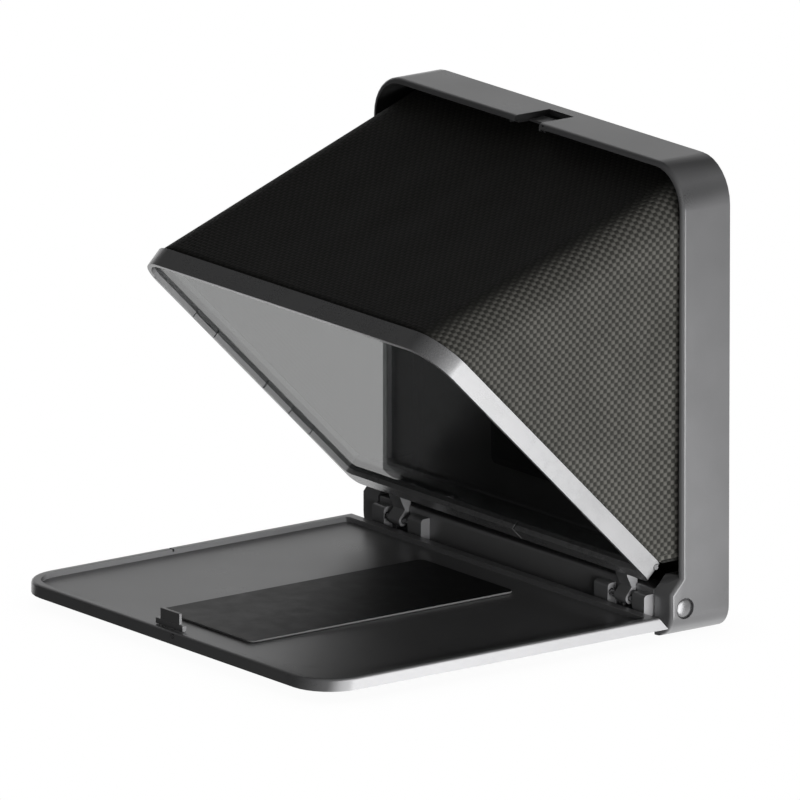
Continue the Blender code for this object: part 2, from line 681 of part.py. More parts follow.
def build_glass_frame(glass):
    back = FRAME_FACE - FRAME_THICKNESS
    glass_face = FRAME_FACE - GLASS_RECESS
    ledge_face = glass_face - GLASS_THICKNESS - 2 * GAP
    window = frame_outline(
        FRAME_RIM + FRAME_LEDGE, FRAME_RIM_TOP + FRAME_LEDGE, FRAME_RIM_BOTTOM + FRAME_LEDGE
    )
    frame = plate(
        "glass_frame",
        [frame_outline(0, 0, 0), window],
        "XY",
        (back, FRAME_FACE),
        glass,
        ALUMINIUM,
    )
    cut(frame, plate("glass_seat", [frame_outline(FRAME_RIM, FRAME_RIM_TOP, FRAME_RIM_BOTTOM)], "XY",
                     (ledge_face, FRAME_FACE + MM), glass))
    soften(frame)
    pane = frame_outline(FRAME_RIM + GAP, FRAME_RIM_TOP + GAP, FRAME_RIM_BOTTOM + GAP)
    plate("beam_splitter_glass", [pane], "XY", (glass_face - GLASS_THICKNESS, glass_face), glass, GLASS)
    wall, above = FRAME_HALF - FRAME_RIM, FRAME_FACE + MM
    for name, side in mirror_names("rail_clip"):
        tab = span_on_side((wall, wall + CLIP_WIDTH), side)
        room = span_on_side((wall - MM, wall + CLIP_WIDTH + CLIP_GAP), side)
        for index, centre in enumerate(CLIP_CENTRES):
            length = (centre - CLIP_LENGTH / 2, centre + CLIP_LENGTH / 2)
            pocket = (length[0] - CLIP_GAP, length[1] + CLIP_GAP)
            label = f"{name}_{index + 1}"
            cut(frame, box(label + "_pocket", room, pocket, (glass_face, above), glass))
            box(label, tab, length, (glass_face + GAP, FRAME_FACE), glass, ALUMINIUM)
        cut(frame, box(name + "_slot", room, (SIDE_SLOT, SIDE_SLOT + SLOT_WIDTH), (glass_face, above), glass))
    cut(frame, box("bottom_slot", (BOTTOM_SLOT, BOTTOM_SLOT + SLOT_WIDTH),
                   (FRAME_LOW - MM, FRAME_LOW + FRAME_RIM_BOTTOM + MM), (glass_face, above), glass))
    end = FRAME_HALF - 0.1 * MM
    for name, side in mirror_names("frame_pin"):
        spot = (FRAME_LOW + 3.3 * MM, back + 2.8 * MM)
        hole = span_on_side((end - FRAME_PIN_LENGTH - 0.4 * MM, FRAME_HALF + 4 * MM), side)
        cut(frame, rod(name + "_hole", FRAME_PIN_RADIUS + GAP, "X", hole, spot, glass, steps=12))
        length = span_on_side((end - FRAME_PIN_LENGTH, end), side)
        rod(name, FRAME_PIN_RADIUS, "X", length, spot, glass, STEEL, steps=12)


def arm_profile():
    """Side view of an arm: a round hub, then a neck bent back to the end of the frame's bottom rail."""
    neck_end = FRAME_LOW - GAP
    points = arc((0, 0), ARM_HUB_RADIUS, 20, 250, 10)
    points += [(0.6 * MM, -6.6 * MM), (4.5 * MM, -10.5 * MM), (neck_end, -13.5 * MM)]
    points += [(neck_end, -8.6 * MM), (9.1 * MM, -6.2 * MM), (3.4 * MM, -4.2 * MM)]
    return points


def build_arms(glass):
    for name, side in mirror_names("hinge_arm"):
        bore = span_on_side((ARM_SPAN[0] - 5 * MM, ARM_SPAN[1] + 5 * MM), side)
        arm = plate(name, [arm_profile()], "YZ", span_on_side(ARM_SPAN, side), glass, GREY)
        soften(arm)
        cut(arm, rod(name + "_bore", ARM_PIN_RADIUS + GAP, "X", bore, (0, 0), glass, steps=16))


# ---------------------------------------------------------------- hood


def hood_arch(x_half, low, high, radius):
    """The open arch of the hood: up the left side, over the top, down the right side, as (x, height)."""
    points = [(-x_half, low)]
    points += arc((-x_half + radius, high - radius), radius, 180, 90)
    points += arc((x_half - radius, high - radius), radius, 90, 0)
    points += [(x_half, low)]
    return points


def build_hood(root, glass):
    """Fabric from the back face of the tilted frame to the upright hem inside the housing."""
    tilt = Euler((math.radians(90 + GLASS_TILT), 0, 0)).to_matrix()
    pivot = glass.parent.location + glass.location
    seam = FRAME_FACE - FRAME_THICKNESS - 2 * GAP
    front = hood_arch(FRAME_HALF - 0.8 * MM, FRAME_LOW + 2.0 * MM, FRAME_HIGH - 0.8 * MM, FRAME_TOP_RADIUS)
    side_inset, top_inset = WALL + 1.2 * MM, WALL + 2.4 * MM
    rear = hood_arch(HOUSING_WIDTH / 2 - side_inset, HOOD_BOTTOM, HOUSING_HEIGHT - top_inset,
                     TOP_RADIUS - WALL)
    mesh = bpy.data.meshes.new("hood")
    shape = bmesh.new()
    rows = []
    for (fx, fy), (rx, rz) in zip(front, rear):
        start = pivot + tilt @ Vector((fx, fy, seam))
        end = Vector((rx, HOOD_BACK, rz))
        rows.append((shape.verts.new(start), shape.verts.new(end)))
    for (a, b), (c, d) in zip(rows, rows[1:]):
        shape.faces.new((a, b, d, c))
    bmesh.ops.recalc_face_normals(shape, faces=shape.faces)
    shape.to_mesh(mesh)
    shape.free()
    hood = finish_mesh("hood", mesh, root, (0, 0, 0), material=FABRIC_BLACK)
    skin = hood.modifiers.new("thickness", "SOLIDIFY")
    skin.thickness = FABRIC
    skin.offset = -1
    skin.use_even_offset = True


# ---------------------------------------------------------------- assembly

clear_scene()
PARTS = new_collection("teleprompter")
CUTTERS = new_collection("cutters")

GREY = make_material("grey_anodised", (0.27, 0.27, 0.28), 0.42, 0.9)
ALUMINIUM = make_material("bright_aluminium", (0.75, 0.75, 0.76), 0.3, 1.0)
BLACK = make_material("black_moulding", (0.03, 0.03, 0.033), 0.5)
RUBBER = make_material("mat_rubber", (0.02, 0.02, 0.022), 0.7)
STEEL = make_material("pin_steel", (0.6, 0.6, 0.62), 0.3, 1.0)
GLASS = make_material("half_mirror", (0.9, 0.93, 0.93), 0.02, 0.0, 1.0)
FABRIC_BLACK = make_material("hood_fabric", (0.035, 0.035, 0.032), 0.9)

housing_frame = make_empty("housing_frame", (0, 0, 0))
lid_axis = make_empty("lid_axis", (0, PIN_Y, PIN_Z), housing_frame)
glass_axis = make_empty("glass_axis", (0, ARM_PIVOT_Y, ARM_PIVOT_Z), lid_axis, 90 + GLASS_TILT)
latch_axis = make_empty("latch_axis", (LATCH_X, -LATCH_REACH, LID_TOP), lid_axis)
ring_axis = make_empty("ring_axis", (0, 0, LENS_HEIGHT), housing_frame)
catch_axis = make_empty("catch_axis", BALL_PLACE, housing_frame)

build_housing(housing_frame)
build_back(housing_frame)
build_lens_mount(housing_frame, ring_axis)
build_catch(housing_frame, catch_axis)
build_pins(housing_frame)
build_lid(lid_axis)
build_latch(latch_axis, lid_axis)
build_hinge_bar(lid_axis)
build_glass_frame(glass_axis)
build_arms(glass_axis)
build_hood(housing_frame, glass_axis)
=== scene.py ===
"""Looks of the fold-flat teleprompter: finishes, sewn hood, small details, light and camera."""

import math

import bmesh
import bpy
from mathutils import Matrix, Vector


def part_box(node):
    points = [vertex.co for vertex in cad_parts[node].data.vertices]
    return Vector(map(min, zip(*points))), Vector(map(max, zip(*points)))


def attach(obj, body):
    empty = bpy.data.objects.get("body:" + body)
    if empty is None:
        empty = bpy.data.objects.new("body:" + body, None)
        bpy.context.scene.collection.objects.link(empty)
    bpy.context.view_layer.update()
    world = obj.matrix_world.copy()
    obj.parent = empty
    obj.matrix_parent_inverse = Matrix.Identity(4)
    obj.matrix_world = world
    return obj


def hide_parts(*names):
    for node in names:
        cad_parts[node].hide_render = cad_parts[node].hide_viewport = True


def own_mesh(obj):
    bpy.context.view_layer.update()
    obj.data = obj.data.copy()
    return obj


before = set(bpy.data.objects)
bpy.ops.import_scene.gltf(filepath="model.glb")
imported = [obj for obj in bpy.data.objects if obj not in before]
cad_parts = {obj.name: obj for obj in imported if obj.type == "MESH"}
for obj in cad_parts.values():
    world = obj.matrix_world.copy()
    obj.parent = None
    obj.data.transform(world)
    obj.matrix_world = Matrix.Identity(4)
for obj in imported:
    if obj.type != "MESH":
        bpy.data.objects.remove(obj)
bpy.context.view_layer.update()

MM = 0.001

# Hood
THREAD = 0.22 * MM  # radius of the sewing thread
STITCH = 2.4 * MM
STITCH_PITCH = 3.3 * MM
FABRIC = 0.7 * MM
WEAVE_CELL = 2.17 * MM
FRONT_RADIUS = 20 * MM  # of the upper corners, at the glass frame
REAR_RADIUS = 19 * MM  # of the same corners, inside the housing
FRAME_DEPTH = 10 * MM  # of the glass frame, square to the glass
FRAME_GAP = 0.9 * MM  # from the frame's back face to the front hem
TOP_SLACK = 2.6 * MM
TOP_PULL = 0.35 * MM
SIDE_SLACK = 1.7 * MM
SIDE_PULL = 0.3 * MM
HEM_RADIUS = 0.85 * MM  # of the bound lower edges
HEM_SEAM = 4.2 * MM  # height of the row of stitches above the lower edge
CREASE_Y = -17 * MM  # where the side panels were folded
CREASE = 0.7 * MM
CREASE_WIDTH = 4 * MM
TUBE_END = 0.55  # radius of a swept tube's ends, against 1 for the rest

# Lens ring. The spans run backwards from the back plate's rear face.
LENS_HEIGHT = 105 * MM
PLATE_REAR = 29.0 * MM
THREAD_RADIUS = 38.4 * MM
THREAD_SPAN = (8.5 * MM, 12.1 * MM)
THREAD_PITCH = 0.75 * MM
THREAD_HEIGHT = 0.4 * MM
THREAD_STEPS = 72  # in one turn
THREAD_FADE = 8  # steps in which the thread rises at each end
GRIP_RADIUS = 40.5 * MM
GRIP_SPAN = (6.75 * MM, 7.8 * MM)
GRIP_RIBS = 96
GRIP_HEIGHT = 0.3 * MM
SUNK = 0.1 * MM  # how far the thread and the ribs reach into the ring

# Camera: nearly parallel, from the front right and a little above.
CAMERA_AZIMUTH = 53.25
CAMERA_ELEVATION = 14.5
CAMERA_TARGET = Vector((0, -0.0771, 0.1054))
CAMERA_WIDTH = 0.390
CAMERA_LENS = 1200

# Studio: radiance of the ground and of the low walls behind the object, and of a dim light all round.
GROUND_LIGHT = 0.9
WALL_LIGHT = 0.38
DIM_LIGHT = 0.06
WALL_SLOPE = 0.35  # the walls are lower on the right
FLOOR_SIZE = 6.0
FLOOR_DROP = 0.5 * MM
CONTACT_REACH = 0.03  # within which a painted shadow darkens the floor near the object
CONTACT_SHADE = 0.96


# ---------------------------------------------------------------- node tools


def node(tree, kind, *values, **settings):
    """Adds a shader node. Values fill its inputs in order: a number, a colour, another node's output,
    or None to leave an input as it is."""
    made = tree.nodes.new("ShaderNode" + kind)
    for key, value in settings.items():
        setattr(made, key, value)
    for socket, value in zip(made.inputs, values):
        connect(tree, value, socket)
    return made


def connect(tree, value, socket):
    if isinstance(value, bpy.types.NodeSocket):
        tree.links.new(value, socket)
    elif value is not None:
        socket.default_value = value


def calc(tree, operation, *values):
    return node(tree, "Math", *values, operation=operation).outputs[0]


def remap(tree, value, low, high, to_low=0.0, to_high=1.0, smooth=False):
    kind = "SMOOTHSTEP" if smooth else "LINEAR"
    return node(tree, "MapRange", value, low, high, to_low, to_high, interpolation_type=kind).outputs[0]


def blend_colour(tree, share, first, second):
    made = tree.nodes.new("ShaderNodeMix")
    made.data_type = "RGBA"
    connect(tree, share, made.inputs[0])
    connect(tree, first, made.inputs[6])
    connect(tree, second, made.inputs[7])
    return made.outputs[2]


def blend_value(tree, share, first, second):
    """first where share is 0, and second where it is 1."""
    return calc(tree, "ADD", calc(tree, "MULTIPLY", share, second),
                calc(tree, "MULTIPLY", calc(tree, "SUBTRACT", 1.0, share), first))


def grey(value, alpha=1.0):
    return (value, value, value, alpha)


def noise(tree, place, size, detail=2.0, roughness=0.5):
    """Noise whose grains measure about size metres."""
    return node(tree, "TexNoise", place, None, 1 / size, detail, roughness).outputs[0]


def scale_colour(tree, colour, tone):
    made = node(tree, "VectorMath", colour, None, operation="SCALE")
    connect(tree, tone, made.inputs["Scale"])
    return made.outputs[0]


def facing(tree):
    """The surface's direction in the world, as its X, Y and Z."""
    return node(tree, "SeparateXYZ", tree.nodes.new("ShaderNodeNewGeometry").outputs["Normal"]).outputs


def start_material(name):
    """A new material with an empty Principled shader: (material, tree, shader, place in the object)."""
    material = bpy.data.materials.new(name)
    material.use_nodes = True
    tree = material.node_tree
    shader = tree.nodes["Principled BSDF"]
    place = node(tree, "TexCoord").outputs["Object"]
    return material, tree, shader, place


def fill(tree, shader, **values):
    for key, value in values.items():
        connect(tree, value, shader.inputs[key.replace("_", " ")])


def bump(tree, height, distance, strength=1.0):
    made = tree.nodes.new("ShaderNodeBump")
    made.inputs["Strength"].default_value = strength
    made.inputs["Distance"].default_value = distance
    tree.links.new(height, made.inputs["Height"])
    return made.outputs[0]


def edge_mask(tree, radius):
    """1 along edges, where handling wears a finish, and 0 on open faces."""
    rounded = node(tree, "Bevel", radius, samples=3).outputs[0]
    normal = tree.nodes.new("ShaderNodeNewGeometry").outputs["Normal"]
    match = node(tree, "VectorMath", rounded, normal, operation="DOT_PRODUCT").outputs["Value"]
    return remap(tree, match, 1.0, 0.8)


# ---------------------------------------------------------------- materials


def metal(name, colour, roughness, metallic=0.5, ends=(1.0, 0.5), inside=None, edge_gain=0.25):
    """Bead-blasted and anodised: a fine pitted grain, faint clouding, and edges brighter by edge_gain.

    ends holds the tone of the faces that look along X, against 1 for the rest, and how metallic they look:
    painted light or shade on those sides, for how the side lamps fall on them.
    inside is the same for such faces that look towards the middle."""
    grain, depth = 0.35 * MM, 0.006 * MM
    inside = inside or ends
    material, tree, shader, place = start_material(name)
    cloud = noise(tree, place, 28 * MM, 3.0)
    pits = noise(tree, place, grain, 2.0, 0.6)
    edge = edge_mask(tree, 0.5 * MM)
    tone = calc(tree, "MULTIPLY", remap(tree, cloud, 0.3, 0.7, 0.96, 1.04),
                remap(tree, pits, 0.2, 0.8, 0.95, 1.05))
    base = blend_colour(tree, edge, (*colour, 1), (*[min(1, c * (1 + edge_gain)) for c in colour], 1))
    sideways = facing(tree)[0]
    # painted light or shade: faces that look along X take the tone in ends, or in inside when they look
    # towards the middle
    end = remap(tree, calc(tree, "ABSOLUTE", sideways), 0.75, 0.95, smooth=True)
    across = node(tree, "SeparateXYZ", place).outputs[0]
    inward = calc(tree, "LESS_THAN", calc(tree, "MULTIPLY", sideways, across), 0.0)
    painted_side_tone, painted_side_metal = (remap(tree, inward, 0.0, 1.0, *pair) for pair in zip(ends, inside))
    tone = calc(tree, "MULTIPLY", tone, blend_value(tree, end, 1.0, painted_side_tone))
    rough = calc(tree, "ADD", remap(tree, cloud, 0.3, 0.7, roughness * 0.93, roughness * 1.07),
                 remap(tree, pits, 0.2, 0.8, -0.02, 0.02))
    fill(
        tree,
        shader,
        Base_Color=scale_colour(tree, base, tone),
        Metallic=blend_value(tree, end, metallic, painted_side_metal),
        Roughness=rough,
        Normal=bump(tree, pits, depth),
    )
    return material


def moulding(name, colour, roughness):
    """Black plastic with a fine spark-eroded texture, and edges worn paler."""
    material, tree, shader, place = start_material(name)
    texture = noise(tree, place, 0.5 * MM, 3.0, 0.6)
    edge = edge_mask(tree, 0.4 * MM)
    base = blend_colour(tree, edge, (*colour, 1), (*[c * 2.2 for c in colour], 1))
    fill(
        tree,
        shader,
        Base_Color=base,
        Roughness=remap(tree, texture, 0.3, 0.7, roughness - 0.05, roughness + 0.07),
        Normal=bump(tree, texture, 0.02 * MM),
    )
    return material


def rubber(name):
    """Silicone mat: dull, with a fine dimpled surface, a little dust in its tone and side faces painted pale:
    a painted highlight along its edges.
    """
    material, tree, shader, place = start_material(name)
    dimples = node(tree, "TexVoronoi", place, None, 1 / (0.9 * MM)).outputs["Distance"]
    dust = noise(tree, place, 9 * MM, 4.0, 0.6)
    dusty = blend_colour(tree, remap(tree, dust, 0.4, 0.75), (0.011, 0.011, 0.012, 1), (0.02, 0.02, 0.02, 1))
    # painted highlight: the mat's side faces are painted pale grey
    side = remap(tree, facing(tree)[2], 0.95, 0.5)
    fill(
        tree,
        shader,
        Base_Color=blend_colour(tree, side, dusty, grey(0.26)),
        Roughness=remap(tree, dust, 0.3, 0.7, 0.42, 0.5),
        Normal=bump(tree, dimples, 0.03 * MM, 0.5),
    )
    return material


def half_mirror(name, share, tint):
    """Coated glass: share of the light is mirrored, and the rest goes straight through, less the tint."""
    material, tree, shader, place = start_material(name)
    tree.nodes.remove(shader)
    smear = noise(tree, place, 60 * MM, 2.0)
    shine = node(tree, "BsdfAnisotropic", grey(0.97), remap(tree, smear, 0.3, 0.7, 0.0, 0.006))
    clear = node(tree, "BsdfTransparent", (*tint, 1))
    output = next(each for each in tree.nodes if each.type == "OUTPUT_MATERIAL")
    mixed = node(tree, "MixShader", share, clear.outputs[0], shine.outputs[0])
    tree.links.new(mixed.outputs[0], output.inputs["Surface"])
    return material


def weave_height(tree, across, along):
    """Height of the yarns of a plain weave, and how far the light yarn is on top, from coordinates in yarns.

    Each square cell shows one yarn: the light one where the cell numbers add up to an even number, and the
    dark one elsewhere. A yarn is highest in the middle of its cell, and dips where it goes under."""
    waves = [calc(tree, "SINE", calc(tree, "MULTIPLY", value, math.pi)) for value in (across, along)]
    over = calc(tree, "MULTIPLY", *waves)
    crown = calc(tree, "ABSOLUTE", over)
    return crown, remap(tree, over, -0.45, 0.3, smooth=True)


def weave(name, light, dark, sheen):
    """Plain-woven nylon: one set of yarns is olive grey and the other nearly black, with fine fibres on both.

    The light yarns show fully only where the cloth faces sideways; on top they are painted darker, a painted
    shade for the side lamp that lights only the side panels."""
    material, tree, shader, place = start_material(name)
    spot = node(tree, "SeparateXYZ", node(tree, "UVMap", uv_map="weave").outputs[0])
    wobble = remap(tree, noise(tree, place, 14 * MM, 2.0), 0.0, 1.0, -0.12, 0.12)
    across = calc(tree, "ADD", calc(tree, "DIVIDE", spot.outputs[0], WEAVE_CELL), wobble)
    along = calc(tree, "ADD", calc(tree, "DIVIDE", spot.outputs[1], WEAVE_CELL), wobble)
    height, light_share = weave_height(tree, across, along)
    fibre = noise(tree, place, 0.25 * MM, 2.0, 0.6)
    patch = noise(tree, place, 22 * MM, 3.0)
    # painted shade: the light yarns are dimmed where the cloth faces up, away from the side lamp
    sideways = remap(tree, calc(tree, "ABSOLUTE", facing(tree)[0]), 0.2, 0.62, 0.22, 1.0, smooth=True)
    yarn = blend_colour(tree, calc(tree, "MULTIPLY", light_share, sideways), (*dark, 1), (*light, 1))
    # darker where the yarns dip under: painted shade; the fibre and patch noise are the yarn's own tone
    shade = calc(tree, "MULTIPLY", remap(tree, height, 0.0, 0.7, 0.72, 1.0, smooth=True),
                 remap(tree, fibre, 0.25, 0.75, 0.8, 1.2))
    shade = calc(tree, "MULTIPLY", shade, remap(tree, patch, 0.3, 0.7, 0.9, 1.1))
    relief = calc(tree, "ADD", height, calc(tree, "MULTIPLY", fibre, 0.15))
    fill(
        tree,
        shader,
        Base_Color=scale_colour(tree, yarn, shade),
        Roughness=0.75,
        Diffuse_Roughness=1.0,
        Specular_IOR_Level=0.25,
        Sheen_Weight=sheen,
        Sheen_Roughness=0.5,
        Normal=bump(tree, relief, 0.25 * MM, 0.8),
    )
    return material


def plain_cloth(name, colour):
    """Lining, binding and sewing thread: a fine twill line over a dull yarn."""
    material, tree, shader, place = start_material(name)
    bands = node(tree, "TexWave", place, 1 / (4 * MM), 0.6, 2.0, 2.0, bands_direction="DIAGONAL")
    twill = bands.outputs["Fac"]
    share = calc(tree, "MULTIPLY", twill, noise(tree, place, 0.4 * MM, 2.0))
    fill(
        tree,
        shader,
        Base_Color=blend_colour(tree, share, (*colour, 1), (*[c * 2.5 for c in colour], 1)),
        Roughness=0.9,
        Specular_IOR_Level=0.15,
        Normal=bump(tree, twill, 0.05 * MM),
    )
    return material


# ---------------------------------------------------------------- CAD finishes


def finish_nodes(names, material):
    """Gives CAD nodes their material, and smooths their shading with modifiers only."""
    for name in names:
        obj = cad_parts[name]
        for each in obj.material_slots:
            each.material = material
        obj.data.shade_smooth()
        weld = obj.modifiers.new("weld", "WELD")
        weld.merge_threshold = 0.001 * MM
        split = obj.modifiers.new("split", "EDGE_SPLIT")
        split.split_angle = math.radians(50)
        weighted = obj.modifiers.new("weighted", "WEIGHTED_NORMAL")
        weighted.weight = 100


# ---------------------------------------------------------------- mesh tools


def new_object(name, mesh, body, material, squashed=False):
    made = bpy.data.objects.new(name, mesh)
    bpy.context.scene.collection.objects.link(made)
    if material is not None:
        mesh.materials.append(material)
    mesh.shade_smooth()
    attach(made, body)
    if squashed:
        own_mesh(made)
    return made


def arc_points(centre, radius, start, end, steps):
    turns = [math.radians(start + (end - start) * step / steps) for step in range(steps + 1)]
    return [(centre[0] + radius * math.cos(turn), centre[1] + radius * math.sin(turn)) for turn in turns]


def stretch(first, last, steps):
    """Points evenly spaced from first to last, without the last."""
    return [tuple(a + (b - a) * step / steps for a, b in zip(first, last)) for step in range(steps)]


# ---------------------------------------------------------------- hood


class Hood:
    """The sewn sheet between the glass frame's back face and the hem inside the housing."""

    SIDE, CORNER, TOP, DEPTH = 30, 12, 44, 44  # steps up a side, round a corner, over the top, to the rear

    def __init__(self):
        low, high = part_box("hood")
        frame_low, frame_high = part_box("glass_frame")
        self.slope = math.sqrt(0.5)
        # The front hem lies in the plane where y + z is back_sum, behind the glass frame.
        self.back_sum = frame_high.z + frame_low.y + FRAME_DEPTH * self.slope + FRAME_GAP
        self.front_top = self.back_sum - low.y - 0.2 * MM
        self.front_low = low.z + 0.5 * MM
        self.half_front = frame_high.x - 0.8 * MM
        self.half_rear = high.x - 0.3 * MM
        self.rear_top = high.z - 0.3 * MM
        self.rear_low = low.z + 0.5 * MM
        self.rear_y = high.y - 0.3 * MM
        self.top_slope = math.hypot(1, (self.rear_top - self.front_top) / (self.rear_y - low.y))

    def front_arch(self):
        """The front hem, worked out in the plane of the glass frame and then tilted with it."""
        top = (self.front_top - self.front_low) / self.slope
        rows = []
        for x, length in self.arch(self.half_front, 0.0, top, FRONT_RADIUS):
            z = self.front_low + length * self.slope
            rows.append(Vector((x, self.back_sum - z, z)))
        return rows

    def rear_arch(self):
        flat = self.arch(self.half_rear, self.rear_low, self.rear_top, REAR_RADIUS)
        return [Vector((x, self.rear_y, z)) for x, z in flat]

    def arch(self, half, low, high, radius):
        """An upside-down U with round corners, from its lower left end to its lower right end."""
        points = stretch((-half, low), (-half, high - radius), self.SIDE)
        points += arc_points((-half + radius, high - radius), radius, 180, 90, self.CORNER)[:-1]
        points += stretch((-half + radius, high), (half - radius, high), self.TOP)
        points += arc_points((half - radius, high - radius), radius, 90, 0, self.CORNER)[:-1]
        points += stretch((half, high - radius), (half, low), self.SIDE)
        return points + [(half, low)]

    def sag(self, row, depth):
        """How far the sheet gives way inwards: a slack middle on each panel, and soft pulls from the hems."""
        ends = math.sin(math.pi * depth)
        count = self.SIDE * 2 + self.CORNER * 2 + self.TOP
        first_corner, last_corner = self.SIDE + self.CORNER, count - self.SIDE - self.CORNER
        if first_corner <= row <= last_corner:
            across = (row - first_corner) / self.TOP
            slack = TOP_SLACK * math.sin(math.pi * across) ** 0.7
            pull = TOP_PULL * math.sin(9 * math.pi * across + 2 * depth) * math.sin(math.pi * across)
            return Vector((0, 0, -(slack + pull) * ends))
        if row <= self.SIDE or row >= count - self.SIDE:
            side = -1 if row <= self.SIDE else 1
            up = row / self.SIDE if side < 0 else (count - row) / self.SIDE
            slack = SIDE_SLACK * math.sin(math.pi * min(1, 0.15 + 0.85 * up)) * ends
            pull = SIDE_PULL * math.sin(7 * math.pi * up + 3 * depth) * ends * (1 - up)
            return Vector((-side * (slack + pull), 0, 0))
        return Vector((0, 0, 0))

    def surface(self):
        """The sheet's middle surface as rows of points from the front hem to the rear hem."""
        grid = []
        for row, (start, end) in enumerate(zip(self.front_arch(), self.rear_arch())):
            line = []
            for step in range(self.DEPTH + 1):
                depth = step / self.DEPTH
                point = start.lerp(end, depth)
                line.append(point + self.sag(row, depth) + self.crease(point, depth))
            grid.append(line)
        return grid

    def crease(self, point, depth):
        """The fold that folding up leaves in each side panel: an upright ridge near the housing's rim."""
        near = math.exp(-(((point.y - CREASE_Y) / CREASE_WIDTH) ** 2))
        inward = max(0, abs(point.x) / self.half_rear - 0.8) * 5
        low = max(0, 1 - (point.z / (self.rear_top - REAR_RADIUS)) ** 6)
        side = -1 if point.x > 0 else 1
        return Vector((side * CREASE * near * inward * low * math.sin(math.pi * depth), 0, 0))

    def weave_place(self, row, point, grid, step):
        """Weave coordinates in metres on the top panel and on the side panels, and the rows of the seams."""
        count = len(grid) - 1
        left, right = self.SIDE + self.CORNER, count - self.SIDE - self.CORNER
        top = (point.x, point.y * self.top_slope)
        if row <= left:
            near = grid[min(row, self.SIDE)][step]
            over = max(0, row - self.SIDE) / self.CORNER * math.pi / 2 * REAR_RADIUS
            side = (-point.y, near.z + over)
        else:
            near = grid[max(row, count - self.SIDE)][step]
            over = max(0, count - self.SIDE - row) / self.CORNER * math.pi / 2 * REAR_RADIUS
            side = (point.y, near.z + over)
        return top, side, left, right

    def build(self, outer, lining):
        """Makes the hood in place of the CAD one, and returns the grid of its middle surface."""
        grid = self.surface()
        shape = bmesh.new()
        layer = shape.loops.layers.uv.new("weave")
        verts = [[shape.verts.new(point) for point in line] for line in grid]
        for row in range(len(grid) - 1):
            for step in range(self.DEPTH):
                corners = [(row, step), (row + 1, step), (row + 1, step + 1), (row, step + 1)]
                face = shape.faces.new([verts[r][s] for r, s in corners])
                for loop, (r, s) in zip(face.loops, corners):
                    top, side, left, right = self.weave_place(r, grid[r][s], grid, s)
                    loop[layer].uv = top if left <= row < right else side
        bmesh.ops.recalc_face_normals(shape, faces=shape.faces)
        if sum(face.normal.z for face in shape.faces if abs(face.normal.x) < 0.1) < 0:
            bmesh.ops.reverse_faces(shape, faces=shape.faces)
        mesh = bpy.data.meshes.new("hood_fabric")
        shape.to_mesh(mesh)
        shape.free()
        mesh.materials.append(outer)
        mesh.materials.append(lining)
        made = bpy.data.objects.new("hood_fabric", mesh)
        bpy.context.scene.collection.objects.link(made)
        skin = made.modifiers.new("skin", "SOLIDIFY")
        skin.thickness = FABRIC
        skin.offset = -1
        skin.material_offset = 1
        skin.material_offset_rim = 0
        graph = bpy.context.evaluated_depsgraph_get()
        solid = bpy.data.meshes.new_from_object(made.evaluated_get(graph))
        bpy.data.objects.remove(made, do_unlink=True)
        hood = new_object("hood_fabric", solid, "housing", None, squashed=True)
        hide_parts("hood")
        return grid


def sweep(shape, path, radius, sides=8):
    """A round tube along a path, closed at both ends, with its ends drawn in."""
    rings = []
    last = len(path) - 1
    for index, point in enumerate(path):
        ahead = (path[min(index + 1, last)] - path[max(index - 1, 0)]).normalized()
        across = ahead.cross(Vector((0, 0, 1)) if abs(ahead.z) < 0.9 else Vector((1, 0, 0))).normalized()
        up = across.cross(ahead)
        size = radius * (TUBE_END if index in (0, last) else 1)
        ring = []
        for side in range(sides):
            turn = 2 * math.pi * side / sides
            ring.append(shape.verts.new(point + (across * math.cos(turn) + up * math.sin(turn)) * size))
        rings.append(ring)
    for first, second in zip(rings, rings[1:]):
        for side in range(sides):
            nearby = (side + 1) % sides
            shape.faces.new((first[side], first[nearby], second[nearby], second[side]))
    shape.faces.new(rings[0][::-1])
    shape.faces.new(rings[-1])


def finish_shape(name, shape):
    bmesh.ops.recalc_face_normals(shape, faces=shape.faces)
    mesh = bpy.data.meshes.new(name)
    shape.to_mesh(mesh)
    shape.free()
    return mesh


def spaced(path, pitch):
    """Points at even distances along a path, each with the path's direction there."""
    found, left = [], pitch / 2
    for start, end in zip(path, path[1:]):
        length = (end - start).length
        ahead = (end - start).normalized()
        while left < length:
            found.append((start + ahead * left, ahead))
            left += pitch
        left -= length
    return found


def build_hems(grid, binding, thread):
    """Bound lower edges of the two side panels, with a row of stitches above each."""
    for name, row, inner, side in (("left", 0, 1, -1), ("right", len(grid) - 1, len(grid) - 2, 1)):
        inset = Vector((-side * FABRIC / 2, 0, 0))
        edge = [point + inset for point in grid[row][1:-1]]
        shape = bmesh.new()
        sweep(shape, edge, HEM_RADIUS)
        new_object(f"hem_binding_{name}", finish_shape("hem_binding", shape), "housing",
                   binding, squashed=True)
        seam = []
        for low, high in zip(grid[row][2:-2], grid[inner][2:-2]):
            rise = (high - low).normalized()
            seam.append(low + rise * HEM_SEAM)
        shape = bmesh.new()
        for point, ahead in spaced(seam, STITCH_PITCH):
            out = Vector((side * THREAD, 0, 0))
            ends = [point + ahead * STITCH * share / 2 for share in (-1, -0.6, 0, 0.6, 1)]
            lifts = (-0.6, 0.5, 0.9, 0.5, -0.6)
            sweep(shape, [end + out * lift for end, lift in zip(ends, lifts)], THREAD, sides=6)
        new_object(f"hem_stitches_{name}", finish_shape("hem_stitches", shape), "housing",
                   thread, squashed=True)


# ---------------------------------------------------------------- lens ring


def around_lens(radius, turn, y):
    return Vector((radius * math.cos(turn), PLATE_REAR + y, LENS_HEIGHT + radius * math.sin(turn)))


